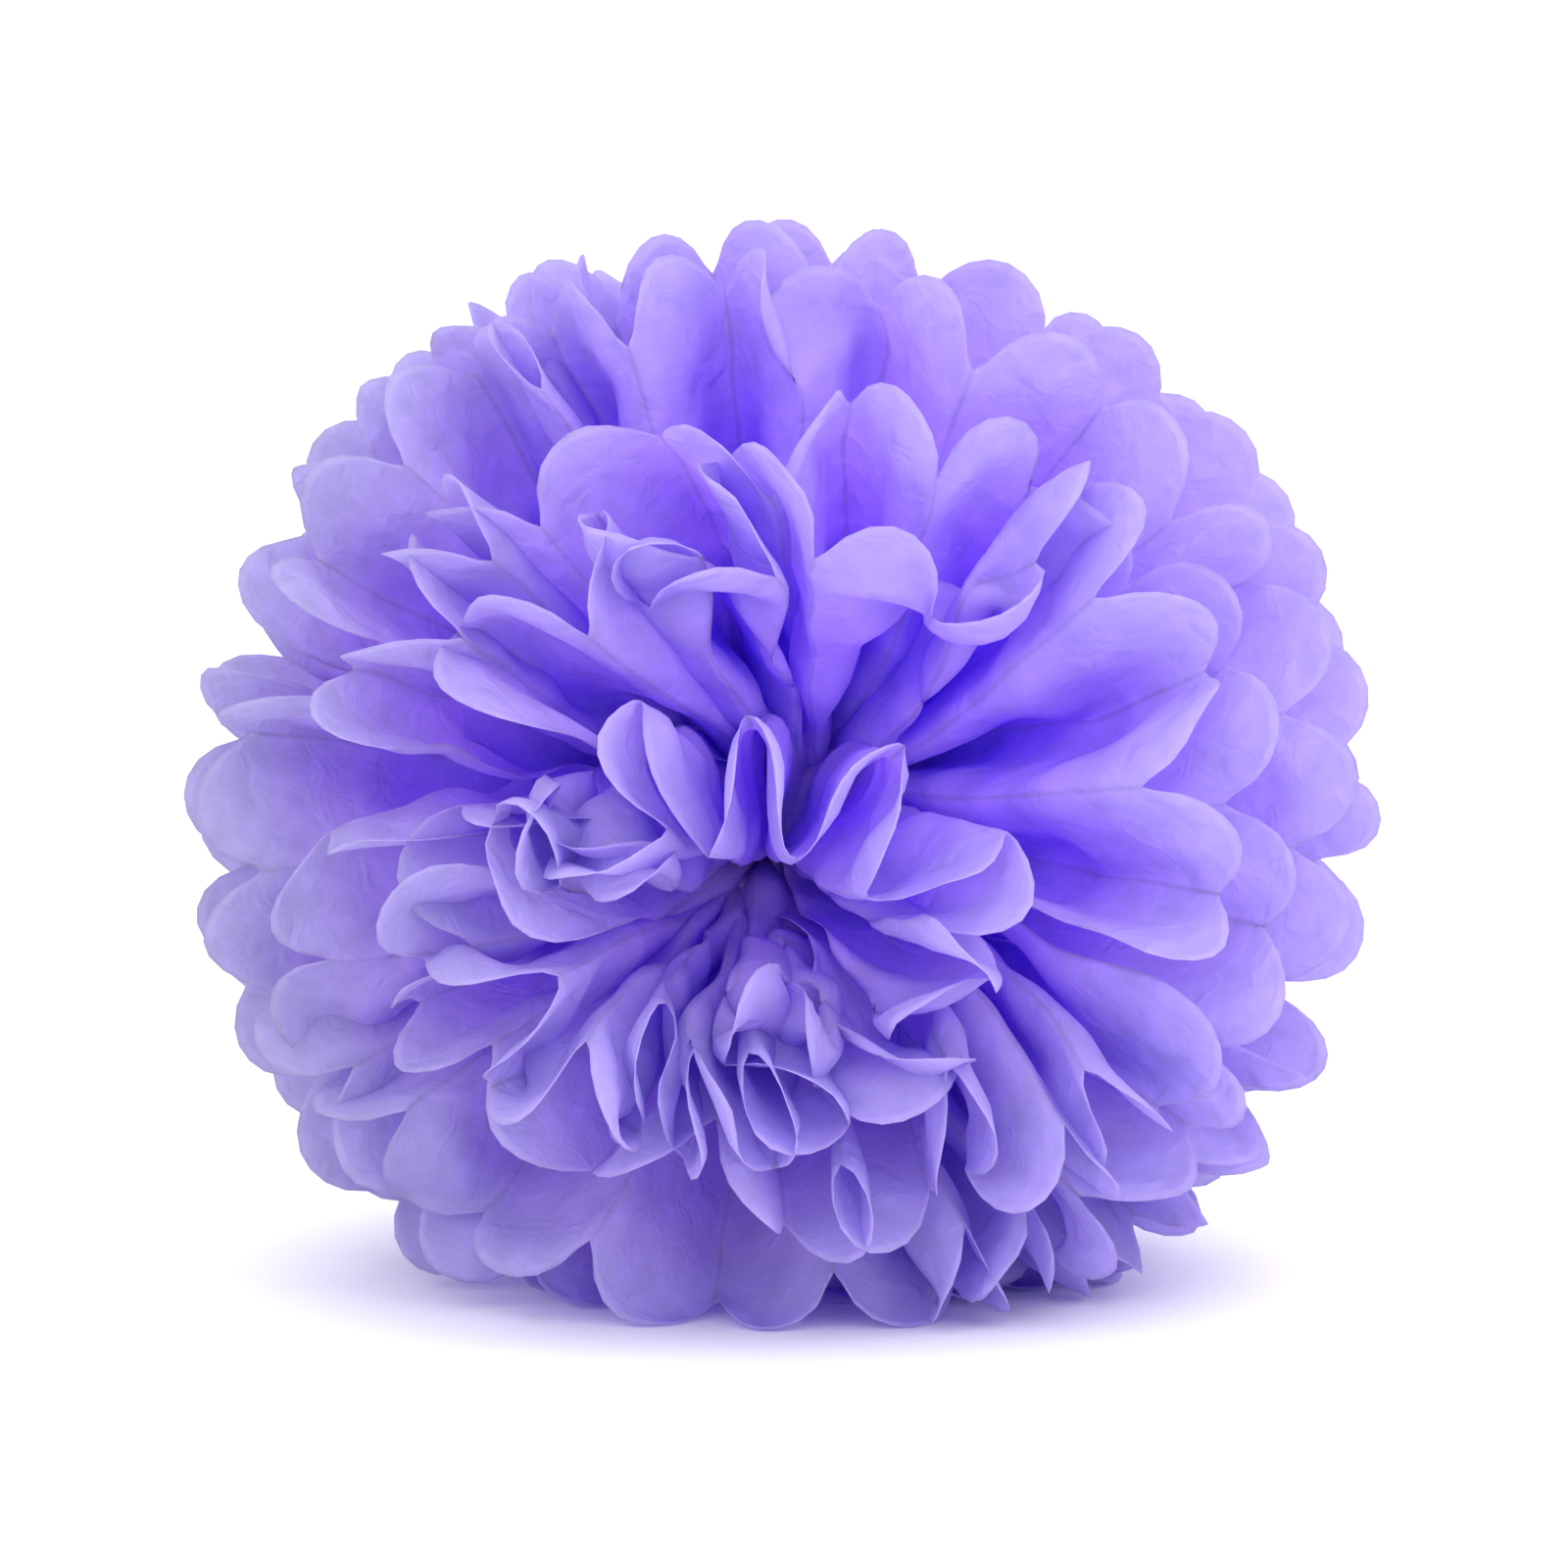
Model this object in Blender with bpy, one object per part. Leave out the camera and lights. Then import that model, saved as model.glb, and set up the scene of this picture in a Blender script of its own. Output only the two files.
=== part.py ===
"""Tissue paper pom pom, 254 mm across (10 inches): ten rectangular tissue sheets and the wire that ties them.

How the real one is made, and how this script builds it:
  1. Ten tissue sheets are stacked and pleated together, like a fan, into a strip of sixteen panels.
  2. Both ends of the strip are cut round, so each panel ends in a petal with a notch at each fold.
  3. A wire is twisted round the middle, and the two halves of the strip open into two half-circle fans.
  4. The sheets are pulled apart one by one, five to the front and five to the back, into a ball.

Metres, +Z up. The tied strip's pleats open in the XZ plane, so the ball's poles are at the front (-Y)
and the back (+Y). The origin is on the surface it rests on, under the middle of the ball.
"""

import math

import bmesh
import bpy
from mathutils import Vector

MM = 0.001

# The flat sheet
SHEETS = 10
PANELS = 16
PANEL_WIDTH = 31.75 * MM
HALF_LENGTH = 127 * MM
ROUND_DEPTH = 18 * MM
ROUND_ANGLES = (45, 90, 135)
FOLD_STATIONS = (13 * MM, 28 * MM, 62 * MM)
PAPER = 0.4 * MM

# The tied neck, where the strip passes through the wire
NECK_HALF = 5 * MM
NECK_PITCH = 0.75 * MM
NECK_LAYER = 1.3 * MM

# The opened ball
CENTRE_HEIGHT = 106 * MM
FIRST_TILT = math.radians(8)
TILT_STEP = math.radians(16)
FAN_HALF_ANGLE = math.radians(92)
FAN_OPEN = 20 * MM
STRIP_TURN = math.radians(70)
TOP_SAG = 0.985
PLEAT_START = 5 * MM
PLEAT_NECK = 0.75
PLEAT_CROWD = 0.6
PLEAT_LEAST = 0.3
FLOOR_LAYER = 1.4 * MM
FOOT_DEPTH = 0.3 * MM

# The wire tie
WIRE = 1.2 * MM
WIRE_GAP = 0.5 * MM
LOOP_CORNER = 1.5 * MM
CORNER_STEPS = 3
TWIST_AWAY = 2.4 * MM
STRAND_GAP = 0.3 * MM
TWISTS = 3
TWIST_PITCH = 4 * MM
STEPS_A_TURN = 8

LILAC = (0.41, 0.30, 0.91, 1.0)
WIRE_GREY = (0.62, 0.63, 0.65, 1.0)

POLE = Vector((0, -1, 0))
STRIP = Vector((math.cos(STRIP_TURN), 0, math.sin(STRIP_TURN)))
ACROSS = Vector((-math.sin(STRIP_TURN), 0, math.cos(STRIP_TURN)))


def clear_scene():
    for obj in list(bpy.data.objects):
        bpy.data.objects.remove(obj)


def make_material(name, colour, roughness, metallic):
    material = bpy.data.materials.new(name)
    material.use_nodes = True
    shader = material.node_tree.nodes["Principled BSDF"]
    shader.inputs["Base Color"].default_value = colour
    shader.inputs["Roughness"].default_value = roughness
    shader.inputs["Metallic"].default_value = metallic
    return material


def tilt_of(sheet):
    """The sheet's angle towards the front pole; the front sheets are positive, and sheet 0 is the frontmost."""
    half = SHEETS // 2
    steps = half - 1 - sheet if sheet < half else sheet - half
    angle = FIRST_TILT + TILT_STEP * steps
    return angle if sheet < half else -angle


def layer_of(sheet):
    """The sheet's height in the tied stack, towards the front pole."""
    return ((SHEETS - 1) / 2 - sheet) * NECK_LAYER


def pleat_height(radius, tilt):
    """How high a pleat stands between its two folds, where the fan's radius leaves each panel that much room."""
    room = radius * 2 * FAN_HALF_ANGLE / PANELS
    full = math.sqrt(max(PANEL_WIDTH**2 - room**2, (PLEAT_LEAST * PANEL_WIDTH) ** 2))
    near = PLEAT_NECK * max(radius - PLEAT_START, 0)
    crowded = 2 * PLEAT_CROWD * radius / abs(math.sin(tilt))
    return min(full, near, crowded)


def folded(sheet, along, across):
    """Where a point of the flat sheet is once it is pleated, tied and opened.

    along runs along the folds from the tie, across runs over the pleats in panel widths, 0 to PANELS.
    """
    tilt = tilt_of(sheet)
    side = 1 if along > 0 else -1
    beyond = max(abs(along) - NECK_HALF, 0.0)
    neck = STRIP * (side * min(abs(along), NECK_HALF))
    neck += ACROSS * ((across - PANELS / 2) * NECK_PITCH)
    neck += POLE * layer_of(sheet)
    if beyond == 0:
        return neck
    swing = (across / PANELS * 2 - 1) * FAN_HALF_ANGLE * min(beyond / FAN_OPEN, 1)
    outwards = STRIP * (side * math.cos(swing)) + ACROSS * math.sin(swing)
    radius = beyond * math.cos(tilt)
    zigzag = abs(across % 2 - 1) * 2 - 1
    rise = zigzag * pleat_height(radius, tilt) / 2
    point = neck + outwards * radius + POLE * (beyond * math.sin(tilt))
    return point + (POLE * math.cos(tilt) - outwards * math.sin(tilt)) * rise


def settled(point, sheet):
    """The ball's top sags a little, and the petals under it bend flat along the surface it rests on."""
    x, y, z = point
    z = CENTRE_HEIGHT + (z * TOP_SAG if z > 0 else z)
    half = SHEETS // 2
    under = half - 1 - sheet if sheet < half else sheet - half
    floor = PAPER / 2 + under * FLOOR_LAYER
    if z < floor:
        y += (floor - z) * (-1 if sheet < half else 1)
        z = floor
    return Vector((x, y, z))


def petal_outline(panel, side):
    """The round-cut end of one panel, from fold to fold, as (along, across) points of the flat sheet."""
    points = []
    for angle in map(math.radians, ROUND_ANGLES):
        reach = HALF_LENGTH - ROUND_DEPTH * (1 - math.sin(angle))
        across = panel + 0.5 - 0.5 * math.cos(angle)
        points.append((side * reach, across))
    return points


def sheet_mesh(sheet):
    """One tissue sheet as a surface: its panels between the folds, then a round petal on both ends of each."""
    notch = HALF_LENGTH - ROUND_DEPTH
    stations = [NECK_HALF, *FOLD_STATIONS, notch]
    rows = [-s for s in reversed(stations)] + stations
    made = bmesh.new()

    def vertex(along, across):
        return made.verts.new(settled(folded(sheet, along, across), sheet))

    folds = [[vertex(along, fold) for along in rows] for fold in range(PANELS + 1)]
    for panel in range(PANELS):
        here, there = folds[panel], folds[panel + 1]
        for row in range(len(rows) - 1):
            made.faces.new((here[row], here[row + 1], there[row + 1], there[row]))
        for side, end in ((1, -1), (-1, 0)):
            tip = [vertex(*point) for point in petal_outline(panel, side)]
            ring = [here[end], *tip, there[end]]
            made.faces.new(ring if side > 0 else ring[::-1])
    bmesh.ops.recalc_face_normals(made, faces=made.faces)
    return made


def add_mesh(name, made, material):
    mesh = bpy.data.meshes.new(name)
    made.to_mesh(mesh)
    made.free()
    mesh.materials.append(material)
    obj = bpy.data.objects.new(name, mesh)
    bpy.context.collection.objects.link(obj)
    return obj


def add_sheet(sheet, material):
    obj = add_mesh(f"tissue_sheet_{sheet + 1:02d}", sheet_mesh(sheet), material)
    paper = obj.modifiers.new("paper", "SOLIDIFY")
    paper.thickness = PAPER
    paper.offset = 0
    bpy.context.view_layer.objects.active = obj
    bpy.ops.object.modifier_apply(modifier=paper.name)
    flatten_foot(obj)
    return obj


def flatten_foot(obj):
    """The petals that the ball rests on lie flat on the surface."""
    for vertex in obj.data.vertices:
        if vertex.co.z < FOOT_DEPTH:
            vertex.co.z = 0


def loop_route():
    """The wire's line round the tied neck, as (across, pole) points from its first end to its second."""
    half_across = PANELS / 2 * NECK_PITCH + PAPER / 2 + WIRE_GAP + WIRE / 2
    half_pole = (SHEETS - 1) / 2 * NECK_LAYER + PAPER / 2 + WIRE_GAP + WIRE / 2
    points = []
    for corner, (across_side, pole_side) in enumerate(((-1, 1), (1, 1), (1, -1), (-1, -1))):
        across = across_side * (half_across - LOOP_CORNER)
        pole = pole_side * (half_pole - LOOP_CORNER)
        for step in range(CORNER_STEPS + 1):
            angle = math.pi - (corner + step / CORNER_STEPS) * math.pi / 2
            points.append((across + LOOP_CORNER * math.cos(angle), pole + LOOP_CORNER * math.sin(angle)))
    return points


def strand_route(start_across, strand):
    """One of the two ends twisted together, as (across, pole, strip) points outwards from the loop."""
    radius = (WIRE + STRAND_GAP) / 2
    points = []
    for step in range(TWISTS * STEPS_A_TURN + 1):
        turn = 2 * math.pi * step / STEPS_A_TURN
        across = start_across - TWIST_PITCH * step / STEPS_A_TURN
        points.append((across, strand * radius * math.cos(turn), strand * radius * math.sin(turn)))
    return points


def add_wire(material):
    """The tie: one wire round the neck, with its two ends twisted together between the fans."""
    loop = loop_route()
    twist_start = loop[0][0] - TWIST_AWAY
    route = strand_route(twist_start, 1)[::-1]
    route += [(across, pole, 0) for across, pole in loop]
    route += strand_route(twist_start, -1)
    curve = bpy.data.curves.new("wire_tie", "CURVE")
    curve.dimensions = "3D"
    curve.bevel_depth = WIRE / 2
    curve.bevel_resolution = 2
    curve.use_fill_caps = True
    curve.materials.append(material)
    spline = curve.splines.new("POLY")
    spline.points.add(len(route) - 1)
    centre = Vector((0, 0, CENTRE_HEIGHT))
    for point, (across, pole, strip) in zip(spline.points, route):
        place = centre + ACROSS * across + POLE * pole + STRIP * strip
        point.co = (*place, 1)
    obj = bpy.data.objects.new("wire_tie", curve)
    bpy.context.collection.objects.link(obj)
    return obj


def main():
    clear_scene()
    tissue = make_material("lilac_tissue", LILAC, 0.9, 0.0)
    steel = make_material("galvanised_wire", WIRE_GREY, 0.4, 1.0)
    for sheet in range(SHEETS):
        add_sheet(sheet, tissue)
    add_wire(steel)


main()
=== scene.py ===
"""Looks of a tissue paper pom pom: ten lilac sheets, pleated together, tied in the middle and fluffed open.

Each sheet starts pleated and opened as the frame holds it, but with the unevenness that hands leave. Then
it is fluffed: a relaxation keeps the paper's lengths and its creases, pushes neighbouring layers apart, and
lets the petals droop onto the floor.
"""
import math

import bpy
import numpy as np
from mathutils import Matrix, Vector


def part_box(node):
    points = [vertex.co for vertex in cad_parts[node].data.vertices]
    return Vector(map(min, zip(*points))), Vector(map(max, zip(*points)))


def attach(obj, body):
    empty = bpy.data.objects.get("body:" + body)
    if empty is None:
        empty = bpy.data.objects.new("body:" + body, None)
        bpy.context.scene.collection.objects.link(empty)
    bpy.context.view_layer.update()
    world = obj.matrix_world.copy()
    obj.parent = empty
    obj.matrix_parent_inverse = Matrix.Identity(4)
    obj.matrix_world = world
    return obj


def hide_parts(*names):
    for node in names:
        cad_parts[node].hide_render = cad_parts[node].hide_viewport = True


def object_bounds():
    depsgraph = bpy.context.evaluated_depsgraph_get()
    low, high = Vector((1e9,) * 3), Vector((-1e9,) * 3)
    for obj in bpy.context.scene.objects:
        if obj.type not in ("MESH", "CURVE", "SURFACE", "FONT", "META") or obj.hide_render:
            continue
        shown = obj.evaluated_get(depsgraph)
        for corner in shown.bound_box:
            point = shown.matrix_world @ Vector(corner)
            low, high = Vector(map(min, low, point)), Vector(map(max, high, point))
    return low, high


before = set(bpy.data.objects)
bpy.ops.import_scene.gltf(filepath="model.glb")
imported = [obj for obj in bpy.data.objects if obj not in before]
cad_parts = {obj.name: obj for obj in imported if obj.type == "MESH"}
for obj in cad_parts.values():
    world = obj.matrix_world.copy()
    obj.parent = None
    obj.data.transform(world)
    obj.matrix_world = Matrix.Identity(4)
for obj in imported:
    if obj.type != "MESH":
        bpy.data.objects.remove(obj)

MM = 0.001
CAD_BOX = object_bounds()
TIE_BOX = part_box("wire_tie")

# The flat sheet, as it is cut: half its length is the ball's radius
SHEETS = 10
HALF = SHEETS // 2
PANELS = 16
HALF_LENGTH = (CAD_BOX[1][0] - CAD_BOX[0][0]) / 2
PANEL_WIDTH = HALF_LENGTH / 4
ROUND_DEPTH = HALF_LENGTH * 0.142
SHEET_LENGTH = 2 * HALF_LENGTH
PAPER = 0.12 * MM

# The tied neck, and the strip's direction through it
CENTRE = np.array([0, 0, (TIE_BOX[0][2] + TIE_BOX[1][2]) / 2])
NECK_HALF = 5 * MM
NECK_PITCH = 0.75 * MM
NECK_LAYER = 1.3 * MM
STRIP_TURN = math.radians(70)
POLE = np.array([0.0, -1.0, 0.0])
STRIP = np.array([math.cos(STRIP_TURN), 0, math.sin(STRIP_TURN)])
ACROSS = np.array([-math.sin(STRIP_TURN), 0, math.cos(STRIP_TURN)])

# The opened fans. Each half has one place, as a share of its sweep, where the pleats stand close together
FAN_OPEN = 20 * MM
FAN_HALF_ANGLE = math.radians(93)
FAN_STEPS = 16
TIGHT_PLACE = {1: 0.69, -1: 0.26}
TIGHT_PLACE_SPREAD = 0.03
TIGHT_WIDTH = 0.17
LEAST_PLEAT = 0.25
PLEAT_START = 4 * MM
PLEAT_GROWTH = 1.1
ROOM_SHARE = 0.85  # how much of the room towards the fan's middle a pleat may fill
ROOM_GROWTH = 2.4
ROOM_SPARE = 8 * MM
TOP_SAG = 0.985

# How each layer stands, from the middle layer to the pole's: its tilt out of the middle plane, and its
# tips' curl
TILT = np.radians((8, 24, 41, 60, 80))
CURL = np.radians((0, -12, -26, -34, -20))
CURL_POWER = (2, 2, 2, 3, 3)

# How unevenly each layer's pleats are spread, lifted, turned and curled
TIGHT_PITCH = (0.5, 0.4, 0.3, 0.25, 0.25)
PITCH_SPREAD = (0.15, 0.35, 0.5, 0.6, 0.6)
UNEVEN = np.radians((2.0, 2.5, 3.0, 4.0, 5.0))
UNEVEN_TURNS = (5, 7, 9, 11)
LIFT = np.radians((3.0, 4.0, 5.5, 7.0, 8.0))
LIFT_TURNS = (2, 3, 5, 8)
SCATTER = np.radians((4, 6, 9, 12, 13))
CURL_SPREAD = np.radians((10, 16, 26, 40, 55))
UNEVEN_SOON = 1.5  # the unevenness is whole at two thirds of the way out

# How far each layer leans to a side of its own, and droops, as a share of how far forward it stands
LEAN = (0, 0.05, 0.1, 0.16, 0.2)
DROOP = 0.07
LEAN_START = 40 * MM

# Small wrinkles that stand off the paper's smooth surface. Their lengths are in millimetres
CRUMPLE = 1.1 * MM
CRUMPLE_WAVES = 60
CRUMPLE_LONGEST = 70
CRUMPLE_SHORTEST = 14
CRUMPLE_START = 60 * MM

# The grid that stands for a sheet while it is fluffed
COLUMNS_IN_PANEL = (0, 0.12, 0.37, 0.63, 0.88)
ROWS = 73
SEED = 7
ROUNDS = 260

# Where the paper is held at the tie, and where it is gathered, both by distance from the tie
HELD = 12 * MM
HELD_FADE = 20 * MM
GATHERED = 18 * MM
GATHERED_FADE = 25 * MM

# What holds the paper in shape: steps along and across the grid, and how strongly each keeps its length
STRETCH = (((1, 0), 1.0), ((0, 1), 1.0), ((1, 1), 0.6), ((1, -1), 0.6))
STIFF_ALONG = (((2, 0), 0.35),)
STIFF_ACROSS = (((0, 2), 0.3), ((0, 3), 0.15))
CREASE = math.radians(36)

# The room that layers keep between them, which grows outwards
LAYER_ROOM = 0.6 * MM
MORE_ROOM = 4.0 * MM
ROOM_FROM = 35 * MM
ROOM_FADE = 80 * MM
REACH = 5 * MM
BESIDE = 2.4  # points of one sheet are neighbours, not layers, within this many reaches
ROUNDS_PER_SEARCH = 8

# How far the paper sinks in each round, and how low it may lie
SINK = 0.02 * MM
LEAST_HEIGHT = 0.3 * MM

# The dye, with painted light in it: brighter violet near the tie as painted bounce light between the
# layers, paler towards the tips by distance from the tie as painted backlight, and greyer on the left as
# painted shade away from the bright side
PAINTED_PALE_FROM = 70 * MM
PAINTED_PALE_TO = 126 * MM
PAINTED_GREY_FROM = -25 * MM
PAINTED_GREY_TO = -120 * MM
INNER_LILAC_PAINTED_BOUNCE = "#dfbfff"
PAINTED_PALE_TIP_LILAC = "#d2c6f3"
PAINTED_GREY_TIP_LILAC = "#cac5e6"
CLOUD = 7 * MM
# Painted shade along the fold lines: how far from the fold it starts, and where it is darkest
PAINTED_CREASE_SHADE_START = 0.9 * MM
PAINTED_CREASE_SHADE_CORE = 0.1 * MM
LET_THROUGH = 0.66

# The paper's relief: size, roughness, distortion and height
CRINKLES = (7 * MM, 0.5, 0.8, 0.55 * MM)
FIBRES = (0.9 * MM, 0.6, 0.0, 0.035 * MM)

# Zinc crystals on the wire
SPANGLE = 1.5 * MM

# The studio tent: its bright side, how strong the light is there and opposite, and how often it is followed
BRIGHT_WAY = (0.27, -0.58, 0.77)
BRIGHT_LIGHT = 2.1
DIM_LIGHT = 1.15
DIM_BELOW = -0.2  # the dim light's place, as a cosine from the bright way
BOUNCES = 32
DIFFUSE_BOUNCES = 28
FLOOR_SIZE = 8

# The camera, and how wide it sees at the pom pom
CAMERA_ELEVATION = math.radians(5)
CAMERA_DISTANCE = 1.3
CAMERA_SENSOR = 36
VIEW_WIDTH = 0.33


def smooth(t):
    """From 0 to 1 with a soft start and end."""
    t = np.clip(t, 0, 1)
    return t * t * (3 - 2 * t)


def flat_grid():
    """Where each grid point lies on the flat sheet: along the folds from the tie, and across in panels."""
    across = np.array([panel + x for panel in range(PANELS) for x in COLUMNS_IN_PANEL] + [PANELS])
    share = np.linspace(-1, 1, ROWS)[:, None]
    x = across % 1
    notch = HALF_LENGTH - ROUND_DEPTH
    reach = notch + ROUND_DEPTH * np.sqrt(np.clip(1 - (1 - 2 * x) ** 2, 0, 1))
    # Rows are straight up to half way out, and take the round cut's shape by the edge
    outer = np.clip((np.abs(share) - 0.5) / 0.5, 0, 1) ** 1.3
    along = share * (notch + (reach - notch) * outer)
    return along, np.broadcast_to(across, along.shape).copy()


def wave(rng, across, turns, size):
    """A smooth random curve over the panels, as a sum of a few sines."""
    total = 0
    for turn in turns:
        total = total + rng.normal() * np.sin(across / PANELS * math.tau * turn + rng.uniform(0, math.tau))
    return total * size / math.sqrt(len(turns) / 2)


def opened_sheet(rng, sheet, along, across):
    """The sheet pleated, tied and opened, with uneven folds as a hand leaves them."""
    front = 1 if sheet < HALF else -1
    steps = HALF - 1 - sheet if sheet < HALF else sheet - HALF
    points = np.zeros(along.shape + (3,))
    points += STRIP * np.clip(along, -NECK_HALF, NECK_HALF)[..., None]
    points += ACROSS * ((across - PANELS / 2) * NECK_PITCH)[..., None]
    points += POLE * (((SHEETS - 1) / 2 - sheet) * NECK_LAYER)
    middle = ROWS // 2
    for half in (1, -1):
        rows = slice(middle, ROWS) if half > 0 else slice(middle, None, -1)
        points[rows] += opened_fan(rng, front, steps, half, np.abs(along[rows]), across[rows])
    lean_turn = rng.uniform(0, math.tau)
    lean = STRIP * math.cos(lean_turn) + ACROSS * math.sin(lean_turn)
    depth = np.abs(points[..., 1])
    lean = lean * LEAN[steps] + np.array([0, 0, -DROOP])
    points += lean * (depth * smooth(depth / LEAN_START))[..., None]
    points[..., 2] *= np.where(points[..., 2] > 0, TOP_SAG, 1)
    return points


def crumple(rng, along, across):
    """How far each grid point of a sheet stands off its smooth surface."""
    total = np.zeros(along.shape)
    for _ in range(CRUMPLE_WAVES):
        angle = rng.uniform(0, math.tau)
        turns = rng.uniform(1 / CRUMPLE_LONGEST, 1 / CRUMPLE_SHORTEST) / MM
        path = (along * math.cos(angle) + across * PANEL_WIDTH * math.sin(angle)) * turns * math.tau
        total += np.sin(path + rng.uniform(0, math.tau))
    return total * CRUMPLE / math.sqrt(CRUMPLE_WAVES / 2) * smooth(np.abs(along) / CRUMPLE_START)


def at_folds(rng, across, size):
    """A random value at each fold line, and between two lines a mix of theirs."""
    return np.interp(across, np.arange(PANELS + 1), rng.normal(size=PANELS + 1) * size)


def opened_fan(rng, front, steps, half, reach, across):
    """One half of a sheet as a fan, by rows from the tie outwards, as offsets from the tied neck."""
    beyond = np.clip(reach - NECK_HALF, 0, None)
    out = smooth(beyond / HALF_LENGTH * UNEVEN_SOON)
    uneven = wave(rng, across, UNEVEN_TURNS, UNEVEN[steps])
    lift = wave(rng, across, LIFT_TURNS, LIFT[steps])
    lift = lift + at_folds(rng, across, SCATTER[steps])
    curl = CURL[steps] + at_folds(rng, across, CURL_SPREAD[steps])
    tilt = TILT[steps] + lift * out + curl * (beyond / HALF_LENGTH) ** CURL_POWER[steps]
    spread = np.exp(rng.normal(size=PANELS) * PITCH_SPREAD[steps])
    place = TIGHT_PLACE[half] + rng.normal() * TIGHT_PLACE_SPREAD
    swing, pitch = fan_spread(across, place, TIGHT_PITCH[steps], spread)
    swing = (swing + uneven * out) * np.clip(beyond / FAN_OPEN, 0, 1)

    # Each fold line is followed outwards from the tie, so its length stays the paper's
    stretch = np.diff(beyond, axis=0)
    mid_tilt = (tilt[1:] + tilt[:-1]) / 2
    start = np.zeros((1, across.shape[1]))
    radius = np.concatenate([start, np.cumsum(stretch * np.cos(mid_tilt), 0)])
    height = np.concatenate([start, np.cumsum(stretch * np.sin(mid_tilt), 0)])

    # A pleat is as high as its panel's width and its pitch make it, but doesn't reach past the middle
    room = np.maximum(radius, 0) * pitch
    full = np.sqrt(np.maximum(PANEL_WIDTH**2 - room**2, (LEAST_PLEAT * PANEL_WIDTH) ** 2))
    near = PLEAT_GROWTH * np.clip(beyond - PLEAT_START, 0, None)
    inner_room = ROOM_SHARE * np.maximum(radius, 0) / (np.abs(np.sin(tilt)) + 0.01)
    pleat = np.minimum(np.minimum(full, near), ROOM_GROWTH * inner_room + ROOM_SPARE)
    zigzag = np.abs(across % 2 - 1) * 2 - 1
    rise = zigzag * pleat / 2 - front * np.clip(pleat / 2 - inner_room, 0, None)
    outwards = STRIP * (half * np.cos(swing))[..., None] + ACROSS * np.sin(swing)[..., None]
    fan = outwards * radius[..., None] + POLE * (front * height)[..., None]
    lean = POLE * np.cos(tilt)[..., None] - outwards * (front * np.sin(tilt))[..., None]
    return fan + lean * rise[..., None]


def fan_spread(across, place, crowd, spread):
    """Where each panel points in the fan, and how much angle it has: panels are tight at one place."""
    steps = np.linspace(0, PANELS, FAN_STEPS * PANELS + 1)
    share = 1 - (1 - crowd) * np.exp(-(((steps / PANELS - place) / TIGHT_WIDTH) ** 2))
    share = share * np.interp(steps, np.arange(PANELS) + 0.5, spread)
    whole = np.concatenate([[0], np.cumsum((share[1:] + share[:-1]) / 2)])
    swing = (np.interp(across, steps, whole) / whole[-1] * 2 - 1) * FAN_HALF_ANGLE
    pitch = np.interp(across, steps, share) / whole[-1] * 2 * FAN_HALF_ANGLE * FAN_STEPS
    return swing, pitch


class Links:
    """Every pair of grid points one step apart that keeps its distance, in sets that share no point."""

    def __init__(self, rest_points, weight, step, strength):
        rows, columns = weight.shape[1:]
        down, right = step
        self.sets = []
        reach = max(down, abs(right))
        for turn in range(2 * reach):
            row_a, row_b = slice(0, rows - down), slice(down, rows)
            col_a, col_b = slice(0, columns - abs(right)), slice(abs(right), columns)
            if right < 0:
                col_a, col_b = col_b, col_a
            if down:
                row_a, row_b = slice(turn, rows - down, 2 * down), slice(turn + down, rows, 2 * down)
            else:
                col_a = slice(turn, columns - right, 2 * right)
                col_b = slice(turn + right, columns, 2 * right)
            a, b = (slice(None), row_a, col_a), (slice(None), row_b, col_b)
            wa, wb = weight[a], weight[b]
            share = strength / (wa + wb + 1e-9)
            rest = np.linalg.norm(rest_points[b] - rest_points[a], axis=-1)
            self.sets.append((a, b, rest, share * wa, share * wb))

    def pull(self, points):
        """Moves both ends of each link towards its rest length."""
        for a, b, rest, move_a, move_b in self.sets:
            gap = points[b] - points[a]
            length = np.sqrt(np.einsum("...i,...i", gap, gap)) + 1e-9
            pull = (length - rest) / length
            points[a] += gap * (pull * move_a)[..., None]
            points[b] -= gap * (pull * move_b)[..., None]


def near_pairs(xyz, reach):
    """Index pairs of points closer than reach, found by sorting the points into cells."""
    cell = np.floor((xyz - xyz.min(0)) / reach).astype(np.int64) + 1
    deep, high = cell[:, 1].max() + 2, cell[:, 2].max() + 2
    key = (cell[:, 0] * deep + cell[:, 1]) * high + cell[:, 2]
    order = np.argsort(key, kind="stable")
    key = key[order]
    found = []
    for right, back in ((0, 0), (0, 1), (1, -1), (1, 0), (1, 1)):
        shift = (right * deep + back) * high
        own = right == 0 and back == 0
        start = np.arange(1, len(key) + 1) if own else np.searchsorted(key, key + shift - 1, "left")
        end = np.searchsorted(key, key + shift + 1, "right")
        count = np.maximum(end - start, 0)
        first = np.repeat(np.arange(len(key)), count)
        before = np.repeat(np.cumsum(count) - count, count)
        second = np.arange(len(first)) - before + np.repeat(start, count)
        i, j = order[first], order[second]
        gap = xyz[j] - xyz[i]
        close = np.einsum("ij,ij->i", gap, gap) < reach * reach
        found.append(np.stack([i[close], j[close]]))
    return np.concatenate(found, axis=1)


def face_directions(points):
    """Unit normals of the grid at every point."""
    along = np.gradient(points, axis=1)
    across = np.gradient(points, axis=2)
    normal = np.cross(along, across)
    return normal / (np.linalg.norm(normal, axis=-1, keepdims=True) + 1e-12)


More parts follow.
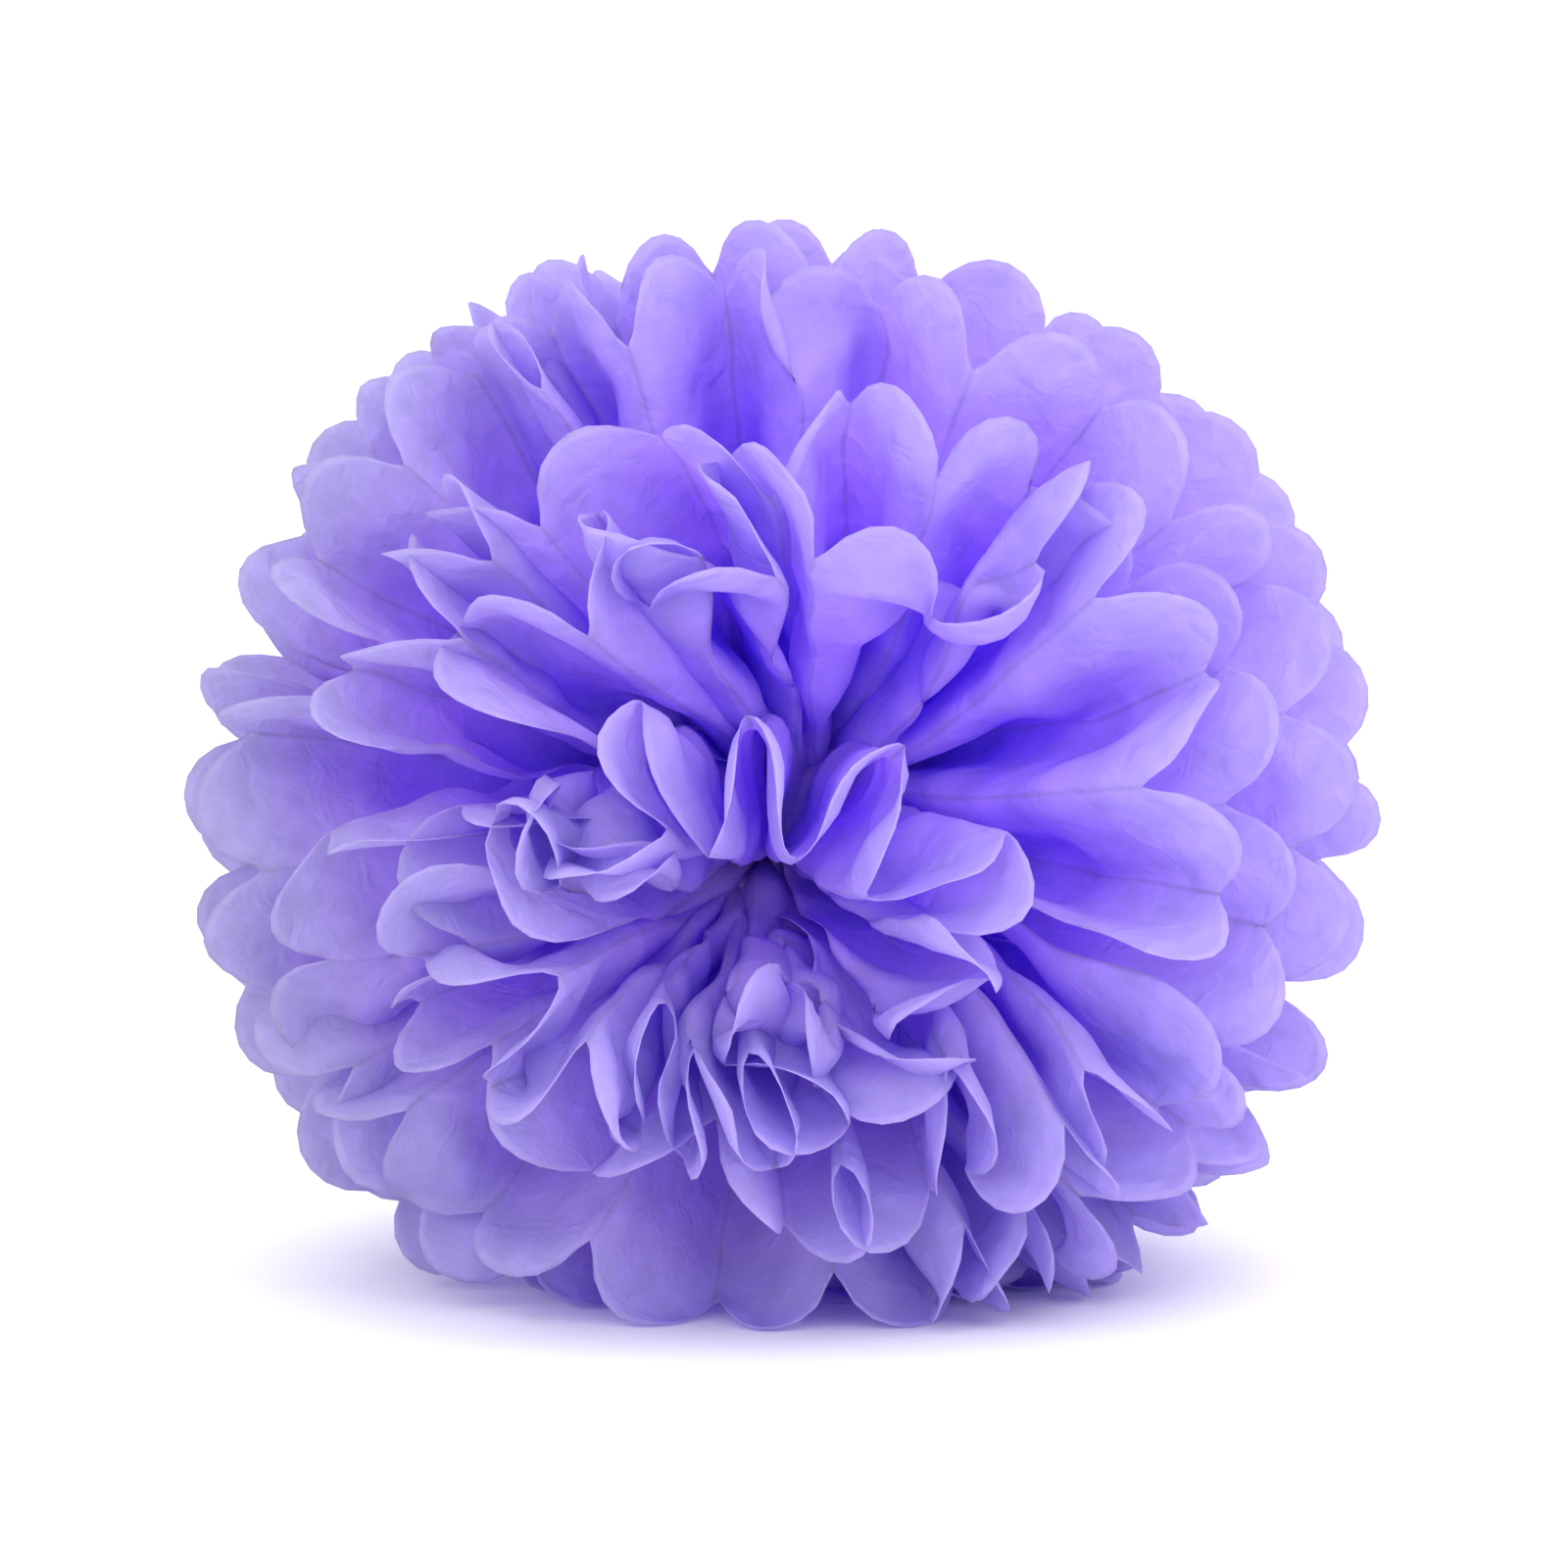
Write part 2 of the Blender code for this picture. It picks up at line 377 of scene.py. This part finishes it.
def keep_apart(points, weight, room, pairs):
    """Moves layers that are too close away from each other, along their faces' directions."""
    flat = points.reshape(-1, 3)
    normals = face_directions(points).reshape(-1, 3)
    i, j = pairs
    gap = flat[j] - flat[i]
    lean_i = np.einsum("ij,ij->i", normals[i], gap)
    lean_j = np.einsum("ij,ij->i", normals[j], gap)
    way = normals[i] * np.sign(lean_i)[:, None] + normals[j] * np.sign(lean_j)[:, None]
    way /= np.linalg.norm(way, axis=1, keepdims=True) + 1e-9
    apart = np.einsum("ij,ij->i", way, gap)
    wanted = np.minimum(room[i], room[j])
    lack = np.clip(wanted - apart, 0, None) / 2
    push = way * lack[:, None]
    hit = lack > 0
    i, j, push = i[hit], j[hit], push[hit]
    count = np.bincount(i, minlength=len(flat)) + np.bincount(j, minlength=len(flat))
    move = np.stack(
        [np.bincount(j, push[:, k], len(flat)) - np.bincount(i, push[:, k], len(flat)) for k in range(3)], 1
    )
    flat += move / np.maximum(count, 1)[:, None] * weight.reshape(-1, 1)


def fluffed_sheets():
    """All ten sheets as grids of points, fluffed."""
    rng = np.random.default_rng(SEED)
    along, across = flat_grid()
    points = np.stack([opened_sheet(rng, sheet, along, across) for sheet in range(SHEETS)])
    points += CENTRE

    # The sheet lying flat, and lying with its creases in it
    flat = np.stack([across * PANEL_WIDTH, along, 0 * along], -1)
    flat = np.broadcast_to(flat, points.shape)
    fold = np.abs(across % 2 - 1)
    creased = np.stack(
        [across * PANEL_WIDTH * math.cos(CREASE), along, fold * PANEL_WIDTH * math.sin(CREASE)], -1
    )
    creased = np.broadcast_to(creased, points.shape)

    out = np.broadcast_to(np.abs(along), points.shape[:3])
    weight = smooth((out - HELD) / HELD_FADE)
    free = smooth((out - GATHERED) / GATHERED_FADE)[..., None]
    links = [blended_links(points, flat, free, weight, *link) for link in STRETCH + STIFF_ALONG]
    links += [blended_links(points, creased, free, weight, *link) for link in STIFF_ACROSS]
    room = (LAYER_ROOM + MORE_ROOM * smooth((out - ROOM_FROM) / ROOM_FADE)).reshape(-1)
    active = np.flatnonzero(out.reshape(-1) > ROOM_FROM)
    sheet_of = np.repeat(np.arange(SHEETS), along.size)
    flat_places = flat.reshape(-1, 3)
    for turn in range(ROUNDS):
        points += np.array([0, 0, -1.0]) * SINK * weight[..., None]
        for link in links:
            link.pull(points)
        if turn % ROUNDS_PER_SEARCH == 0:
            pairs = active[near_pairs(points.reshape(-1, 3)[active], REACH)]
            same = sheet_of[pairs[0]] == sheet_of[pairs[1]]
            # Neighbouring points of one sheet are left out, or its folds would be pushed flat
            flat_gap = flat_places[pairs[0]] - flat_places[pairs[1]]
            beside = same & (np.einsum("ij,ij->i", flat_gap, flat_gap) < (BESIDE * REACH) ** 2)
            pairs = pairs[:, ~beside]
        keep_apart(points, weight, room, pairs)
        points[..., 2] = np.maximum(points[..., 2], LEAST_HEIGHT)

    offs = np.stack([crumple(rng, along, across) for _ in range(SHEETS)])
    points += face_directions(points) * offs[..., None]
    points[..., 2] = np.maximum(points[..., 2], LEAST_HEIGHT)
    return points


def blended_links(points, flat, free, weight, step, strength):
    """Links whose lengths go from the opened shape's near the tie to the flat sheet's further out."""
    link = Links(points, weight, step, strength)
    flat_link = Links(flat, weight, step, strength)
    for k, (a, b, rest, move_a, move_b) in enumerate(link.sets):
        share = (free[a] + free[b])[..., 0] / 2
        rest = rest * (1 - share) + flat_link.sets[k][2] * share
        link.sets[k] = (a, b, rest, move_a, move_b)
    return link


def linear(hex_colour):
    """A material's colour, from an sRGB hex value."""
    values = [int(hex_colour[k : k + 2], 16) / 255 for k in (1, 3, 5)]
    return tuple(v / 12.92 if v <= 0.04045 else ((v + 0.055) / 1.055) ** 2.4 for v in values) + (1.0,)


def node(owner, kind, settings=None, links=None):
    """Adds a node to a material or world, with its settings, and its inputs as values or (node, output)."""
    made = owner.node_tree.nodes.new(kind)
    for name, value in (settings or {}).items():
        setattr(made, name, value)
    for name, value in (links or {}).items():
        if isinstance(value, tuple) and isinstance(value[0], bpy.types.Node):
            owner.node_tree.links.new(value[0].outputs[value[1]], made.inputs[name])
        else:
            made.inputs[name].default_value = value
    return made


def tissue_paper():
    """Dyed tissue paper, matt and thin: light passes through the petals, so their shadows stay violet."""
    material = bpy.data.materials.new("lilac_tissue_paper")
    material.use_nodes = True
    material.node_tree.nodes.clear()

    # Painted light in the colour: violet inside the pom pom as painted bounce light between the layers,
    # paler towards the tips as painted backlight, and greyer on the left as painted shade away from the
    # bright side
    place = node(material, "ShaderNodeTexCoord")
    from_tie = node(
        material,
        "ShaderNodeVectorMath",
        {"operation": "SUBTRACT"},
        {0: (place, "Object"), 1: tuple(CENTRE)},
    )
    far = node(material, "ShaderNodeVectorMath", {"operation": "LENGTH"}, {0: (from_tie, 0)})
    painted_paling = node(
        material,
        "ShaderNodeMapRange",
        {"interpolation_type": "SMOOTHSTEP"},
        {"Value": (far, "Value"), "From Min": PAINTED_PALE_FROM, "From Max": PAINTED_PALE_TO},
    )
    sides = node(material, "ShaderNodeSeparateXYZ", {}, {0: (from_tie, 0)})
    painted_grey_side = node(
        material,
        "ShaderNodeMapRange",
        {"interpolation_type": "SMOOTHSTEP"},
        {"Value": (sides, "X"), "From Min": PAINTED_GREY_FROM, "From Max": PAINTED_GREY_TO},
    )
    tips = node(
        material,
        "ShaderNodeMix",
        {"data_type": "RGBA"},
        {"Factor": (painted_grey_side, 0), 6: linear(PAINTED_PALE_TIP_LILAC), 7: linear(PAINTED_GREY_TIP_LILAC)},
    )
    colour = node(
        material,
        "ShaderNodeMix",
        {"data_type": "RGBA"},
        {"Factor": (painted_paling, 0), 6: linear(INNER_LILAC_PAINTED_BOUNCE), 7: (tips, 2)},
    )

    # Cloudy dye, where the fibres lie thicker, and painted shade along the pressed fold lines, both laid
    # out on the flat sheet
    sheet = node(material, "ShaderNodeUVMap", {"uv_map": "flat_sheet"})
    cloud = node(
        material,
        "ShaderNodeTexNoise",
        {"noise_dimensions": "2D"},
        {"Vector": (sheet, 0), "Scale": 1 / CLOUD, "Detail": 3.0, "Roughness": 0.6},
    )
    strength = node(
        material,
        "ShaderNodeMapRange",
        {},
        {"Value": (cloud, 0), "From Min": 0.25, "From Max": 0.75, "To Min": 0.93, "To Max": 1.05},
    )
    flat_place = node(material, "ShaderNodeSeparateXYZ", {}, {0: (sheet, 0)})
    off_fold = node(
        material, "ShaderNodeMath", {"operation": "PINGPONG"}, {0: (flat_place, "X"), 1: PANEL_WIDTH / 2}
    )
    fold = node(
        material,
        "ShaderNodeMapRange",
        {"interpolation_type": "SMOOTHSTEP"},
        {"Value": (off_fold, 0), "From Min": PAINTED_CREASE_SHADE_START, "From Max": PAINTED_CREASE_SHADE_CORE},
    )
    fold_shade = node(
        material, "ShaderNodeMapRange", {}, {"Value": (fold, 0), "To Min": 1.0, "To Max": 0.9}
    )
    shade = node(
        material, "ShaderNodeMath", {"operation": "MULTIPLY"}, {0: (strength, 0), 1: (fold_shade, 0)}
    )
    # The cloudy dye's colour, with the painted light and the painted crease shade in it
    dye_and_painted_light = node(
        material, "ShaderNodeVectorMath", {"operation": "SCALE"}, {0: (colour, 2), "Scale": (shade, 0)}
    )

    # Small crinkles, and the fibres, which are finer on real tissue and drawn this coarse to show
    relief = None
    for size, roughness, distortion, height in (CRINKLES, FIBRES):
        wrinkles = node(
            material,
            "ShaderNodeTexNoise",
            {"noise_dimensions": "2D"},
            {
                "Vector": (sheet, 0),
                "Scale": 1 / size,
                "Detail": 2.0,
                "Roughness": roughness,
                "Distortion": distortion,
            },
        )
        links = {"Height": (wrinkles, 0), "Distance": height, "Strength": 1.0}
        if relief:
            links["Normal"] = (relief, 0)
        relief = node(material, "ShaderNodeBump", {}, links)

    inputs = {"Color": (dye_and_painted_light, 0), "Normal": (relief, 0)}
    front = node(material, "ShaderNodeBsdfDiffuse", {}, inputs)
    through = node(material, "ShaderNodeBsdfTranslucent", {}, inputs)
    mix = node(material, "ShaderNodeMixShader", {}, {0: LET_THROUGH, 1: (front, 0), 2: (through, 0)})
    node(material, "ShaderNodeOutputMaterial", {}, {"Surface": (mix, 0)})
    return material


def galvanised_wire():
    """Galvanised steel wire: hot-dipped zinc, so dull grey with a faint cloudy spangle."""
    material = bpy.data.materials.new("galvanised_steel_wire")
    material.use_nodes = True
    material.node_tree.nodes.clear()
    place = node(material, "ShaderNodeTexCoord")
    spangle = node(
        material,
        "ShaderNodeTexNoise",
        {},
        {"Vector": (place, "Object"), "Scale": 1 / SPANGLE, "Detail": 3.0},
    )
    grey = node(
        material,
        "ShaderNodeMix",
        {"data_type": "RGBA"},
        {"Factor": (spangle, 0), 6: linear("#8d9094"), 7: linear("#b4b7ba")},
    )
    dull = node(
        material, "ShaderNodeMapRange", {}, {"Value": (spangle, 0), "To Min": 0.35, "To Max": 0.55}
    )
    zinc = node(
        material,
        "ShaderNodeBsdfPrincipled",
        {},
        {"Base Color": (grey, 2), "Metallic": 1.0, "Roughness": (dull, 0)},
    )
    node(material, "ShaderNodeOutputMaterial", {}, {"Surface": (zinc, 0)})
    return material


def sheet_object(number, grid, along, across, material):
    """Makes one sheet's piece from its grid, with the flat sheet as its UV map."""
    name = f"tissue_paper_sheet_{number:02d}"
    rows, columns = grid.shape[:2]
    index = np.arange(rows * columns).reshape(rows, columns)
    faces = np.stack([index[:-1, :-1], index[:-1, 1:], index[1:, 1:], index[1:, :-1]], -1).reshape(-1, 4)
    mesh = bpy.data.meshes.new(name)
    mesh.from_pydata(grid.reshape(-1, 3).tolist(), [], faces.tolist())
    mesh.materials.append(material)
    corners = np.empty(len(mesh.loops), np.int32)
    mesh.loops.foreach_get("vertex_index", corners)
    # Each sheet's map starts a length further on, so that no two sheets share their marks
    flat = np.stack([across * PANEL_WIDTH, along + number * SHEET_LENGTH], -1).reshape(-1, 2)
    mesh.uv_layers.new(name="flat_sheet").data.foreach_set("uv", flat[corners].reshape(-1))
    obj = bpy.data.objects.new(name, mesh)
    bpy.context.collection.objects.link(obj)
    bpy.ops.object.select_all(action="DESELECT")
    bpy.context.view_layer.objects.active = obj
    obj.select_set(True)
    bpy.ops.object.shade_smooth()
    finer = obj.modifiers.new("finer", "SUBSURF")
    finer.levels = finer.render_levels = 1
    bpy.ops.object.modifier_apply(modifier=finer.name)
    paper = obj.modifiers.new("paper", "SOLIDIFY")
    paper.thickness = PAPER
    paper.offset = 0
    bpy.ops.object.modifier_apply(modifier=paper.name)
    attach(obj, "root")
    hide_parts(f"tissue_sheet_{number:02d}")


def make_sheets():
    """The ten sheets, from the front pole's to the back pole's."""
    paper = tissue_paper()
    along, across = flat_grid()
    for number, grid in enumerate(fluffed_sheets(), 1):
        sheet_object(number, grid, along, across, paper)


def make_stage():
    """A plain white floor under the pom pom."""
    bpy.ops.mesh.primitive_plane_add(size=FLOOR_SIZE, location=(0, 0, 0))
    floor = bpy.context.object
    floor.name = "floor"
    material = bpy.data.materials.new("white_paper_floor")
    material.use_nodes = True
    shader = material.node_tree.nodes["Principled BSDF"]
    shader.inputs["Base Color"].default_value = linear("#fafafa")
    shader.inputs["Roughness"].default_value = 0.9
    floor.data.materials.append(material)


def make_lights():
    """Soft light from all round, brighter from the upper front right, as in a white studio tent."""
    world = bpy.data.worlds.new("studio_tent")
    bpy.context.scene.world = world
    world.use_nodes = True
    world.node_tree.nodes.clear()
    way = node(world, "ShaderNodeTexCoord")
    facing = node(
        world,
        "ShaderNodeVectorMath",
        {"operation": "DOT_PRODUCT"},
        {0: (way, "Generated"), 1: BRIGHT_WAY},
    )
    strength = node(
        world,
        "ShaderNodeMapRange",
        {"interpolation_type": "SMOOTHSTEP"},
        {
            "Value": (facing, "Value"),
            "From Min": DIM_BELOW,
            "From Max": 1.0,
            "To Min": DIM_LIGHT,
            "To Max": BRIGHT_LIGHT,
        },
    )
    white = (1.0, 1.0, 1.0, 1.0)
    light = node(world, "ShaderNodeBackground", {}, {"Color": white, "Strength": (strength, 0)})
    node(world, "ShaderNodeOutputWorld", {}, {"Surface": (light, 0)})
    # Light this even is found well by the bounces alone, in half the time
    world.cycles.sampling_method = "NONE"


def make_camera():
    """The camera, in front of the tie and a little above it."""
    aim = Vector(CENTRE)
    way = Vector((0, -math.cos(CAMERA_ELEVATION), math.sin(CAMERA_ELEVATION)))
    place = aim + way * CAMERA_DISTANCE
    bpy.ops.object.camera_add(location=place)
    camera = bpy.context.object
    camera.rotation_euler = (aim - place).to_track_quat("-Z", "Y").to_euler()
    camera.data.sensor_width = CAMERA_SENSOR
    camera.data.lens = CAMERA_SENSOR * CAMERA_DISTANCE / VIEW_WIDTH
    bpy.context.scene.camera = camera


make_sheets()
make_stage()
make_lights()
make_camera()
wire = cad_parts["wire_tie"]
wire.data.materials.clear()
wire.data.materials.append(galvanised_wire())

# Plain colours, and enough bounces for light to find its way through many layers of paper
bpy.context.scene.view_settings.view_transform = "Standard"
bpy.context.scene.cycles.max_bounces = BOUNCES
bpy.context.scene.cycles.diffuse_bounces = DIFFUSE_BOUNCES
bpy.context.scene.cycles.transmission_bounces = DIFFUSE_BOUNCES
